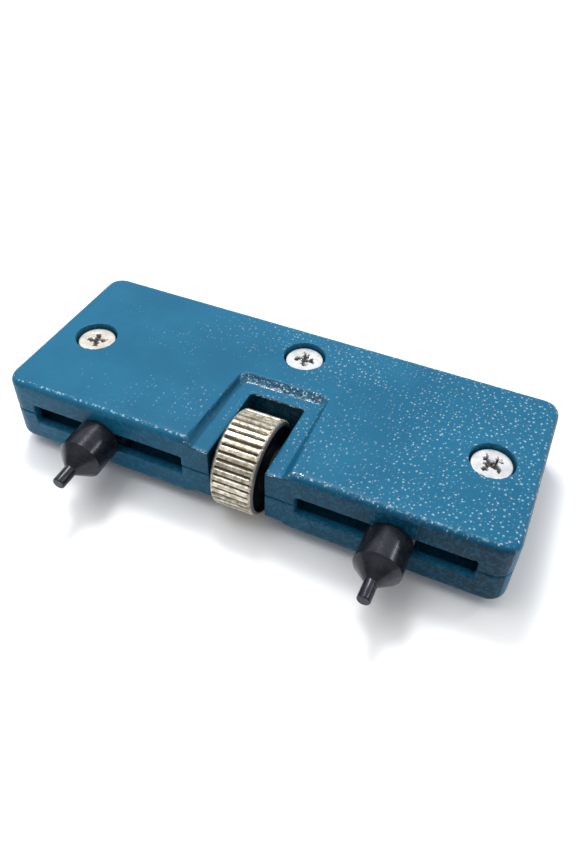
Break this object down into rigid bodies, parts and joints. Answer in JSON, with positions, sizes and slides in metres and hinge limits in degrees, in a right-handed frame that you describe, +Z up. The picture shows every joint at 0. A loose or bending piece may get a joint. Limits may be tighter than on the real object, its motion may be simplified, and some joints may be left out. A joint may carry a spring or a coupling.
{
  "type": "watch case back opener",
  "caption": "Flat two-shell watch case back opener: a knurled thumbwheel on a lead screw moves opposed pin claws along slots in the front edge.",
  "frame": {"origin": "middle of the bottom of the bounding box, which is the lowest tooth of the thumbwheel; the body's underside is 1.7 mm above it", "axes": "+X along the body and the lead screw, to the right seen from the claws' side; +Y from the claws to the back; +Z up, square to the body's flat faces"},
  "size_m": [0.09, 0.0474, 0.0168],
  "materials": {
    "blue_paint": "glossy wrinkled hammer paint on a cast shell",
    "zinc_steel": "bright zinc plate, slightly chewed driver recess",
    "grey_steel": "plain turned steel with a film of oil",
    "nickel_plate": "warm nickel plate with dark dirt in the knurl",
    "brass": "turned brass",
    "black_steel": "satin black oxide"
  },
  "bodies": {
    "case": {"upper_shell": "blue_paint", "lower_shell": "blue_paint", "case_screw_left": "zinc_steel", "case_screw_right": "zinc_steel", "case_screw_middle": "zinc_steel", "thrust_washer_left": "zinc_steel", "thrust_washer_right": "zinc_steel", "journal_bush_left": "brass", "journal_bush_right": "brass", "end_bush_left": "brass", "end_bush_right": "brass", "dowel_left": "grey_steel", "dowel_right": "grey_steel"},
    "lead_screw": {"spindle": "grey_steel", "thumbwheel": "nickel_plate", "wheel_pin": "grey_steel"},
    "left_jaw": {"carrier_left": "grey_steel", "claw_left": "black_steel"},
    "right_jaw": {"carrier_right": "grey_steel", "claw_right": "black_steel"}
  },
  "joints": [
    {"name": "wheel_turn", "type": "hinge", "parent": "case", "child": "lead_screw", "pos_m": [0, -0.00587, 0.0084], "axis": [1, 0, 0], "range_deg": [-4140, 5040]},
    {"name": "left_jaw_slide", "type": "slide", "parent": "case", "child": "left_jaw", "axis": [1, 0, 0], "range_m": [-0.0115, 0.014]},
    {"name": "right_jaw_slide", "type": "slide", "parent": "case", "child": "right_jaw", "axis": [1, 0, 0], "range_m": [-0.014, 0.0115]}
  ],
  "couplings": [
    {"joint": "left_jaw_slide", "follows": "wheel_turn", "m_per_rad": 0.00015915},
    {"joint": "right_jaw_slide", "follows": "wheel_turn", "m_per_rad": -0.00015915}
  ]
}
